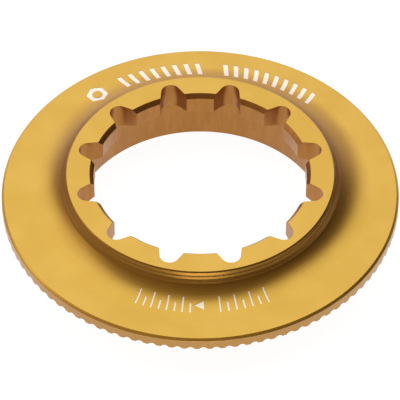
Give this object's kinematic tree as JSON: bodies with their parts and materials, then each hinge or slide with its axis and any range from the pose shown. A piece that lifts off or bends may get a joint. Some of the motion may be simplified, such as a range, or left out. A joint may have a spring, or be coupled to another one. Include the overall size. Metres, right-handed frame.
{
  "type": "rotor lock ring",
  "caption": "Flanged ring nut with a raised collar notched inside for a splined tool, radial serrations under the flange's rim and a short threaded barrel below.",
  "frame": {"origin": "on the ring's axis, at the end face of the threaded barrel, which is the lowest point", "axes": "+Z along the ring's axis, from the threaded barrel through the flange to the collar that the tool enters"},
  "size_m": [0.0384, 0.0384, 0.0074],
  "materials": {
    "anodised_aluminium": "satin gold anodising over fine turning marks, with pale laser-etched marks on the flange"
  },
  "bodies": {
    "root": {"lock_ring": "anodised_aluminium"}
  },
  "joints": []
}
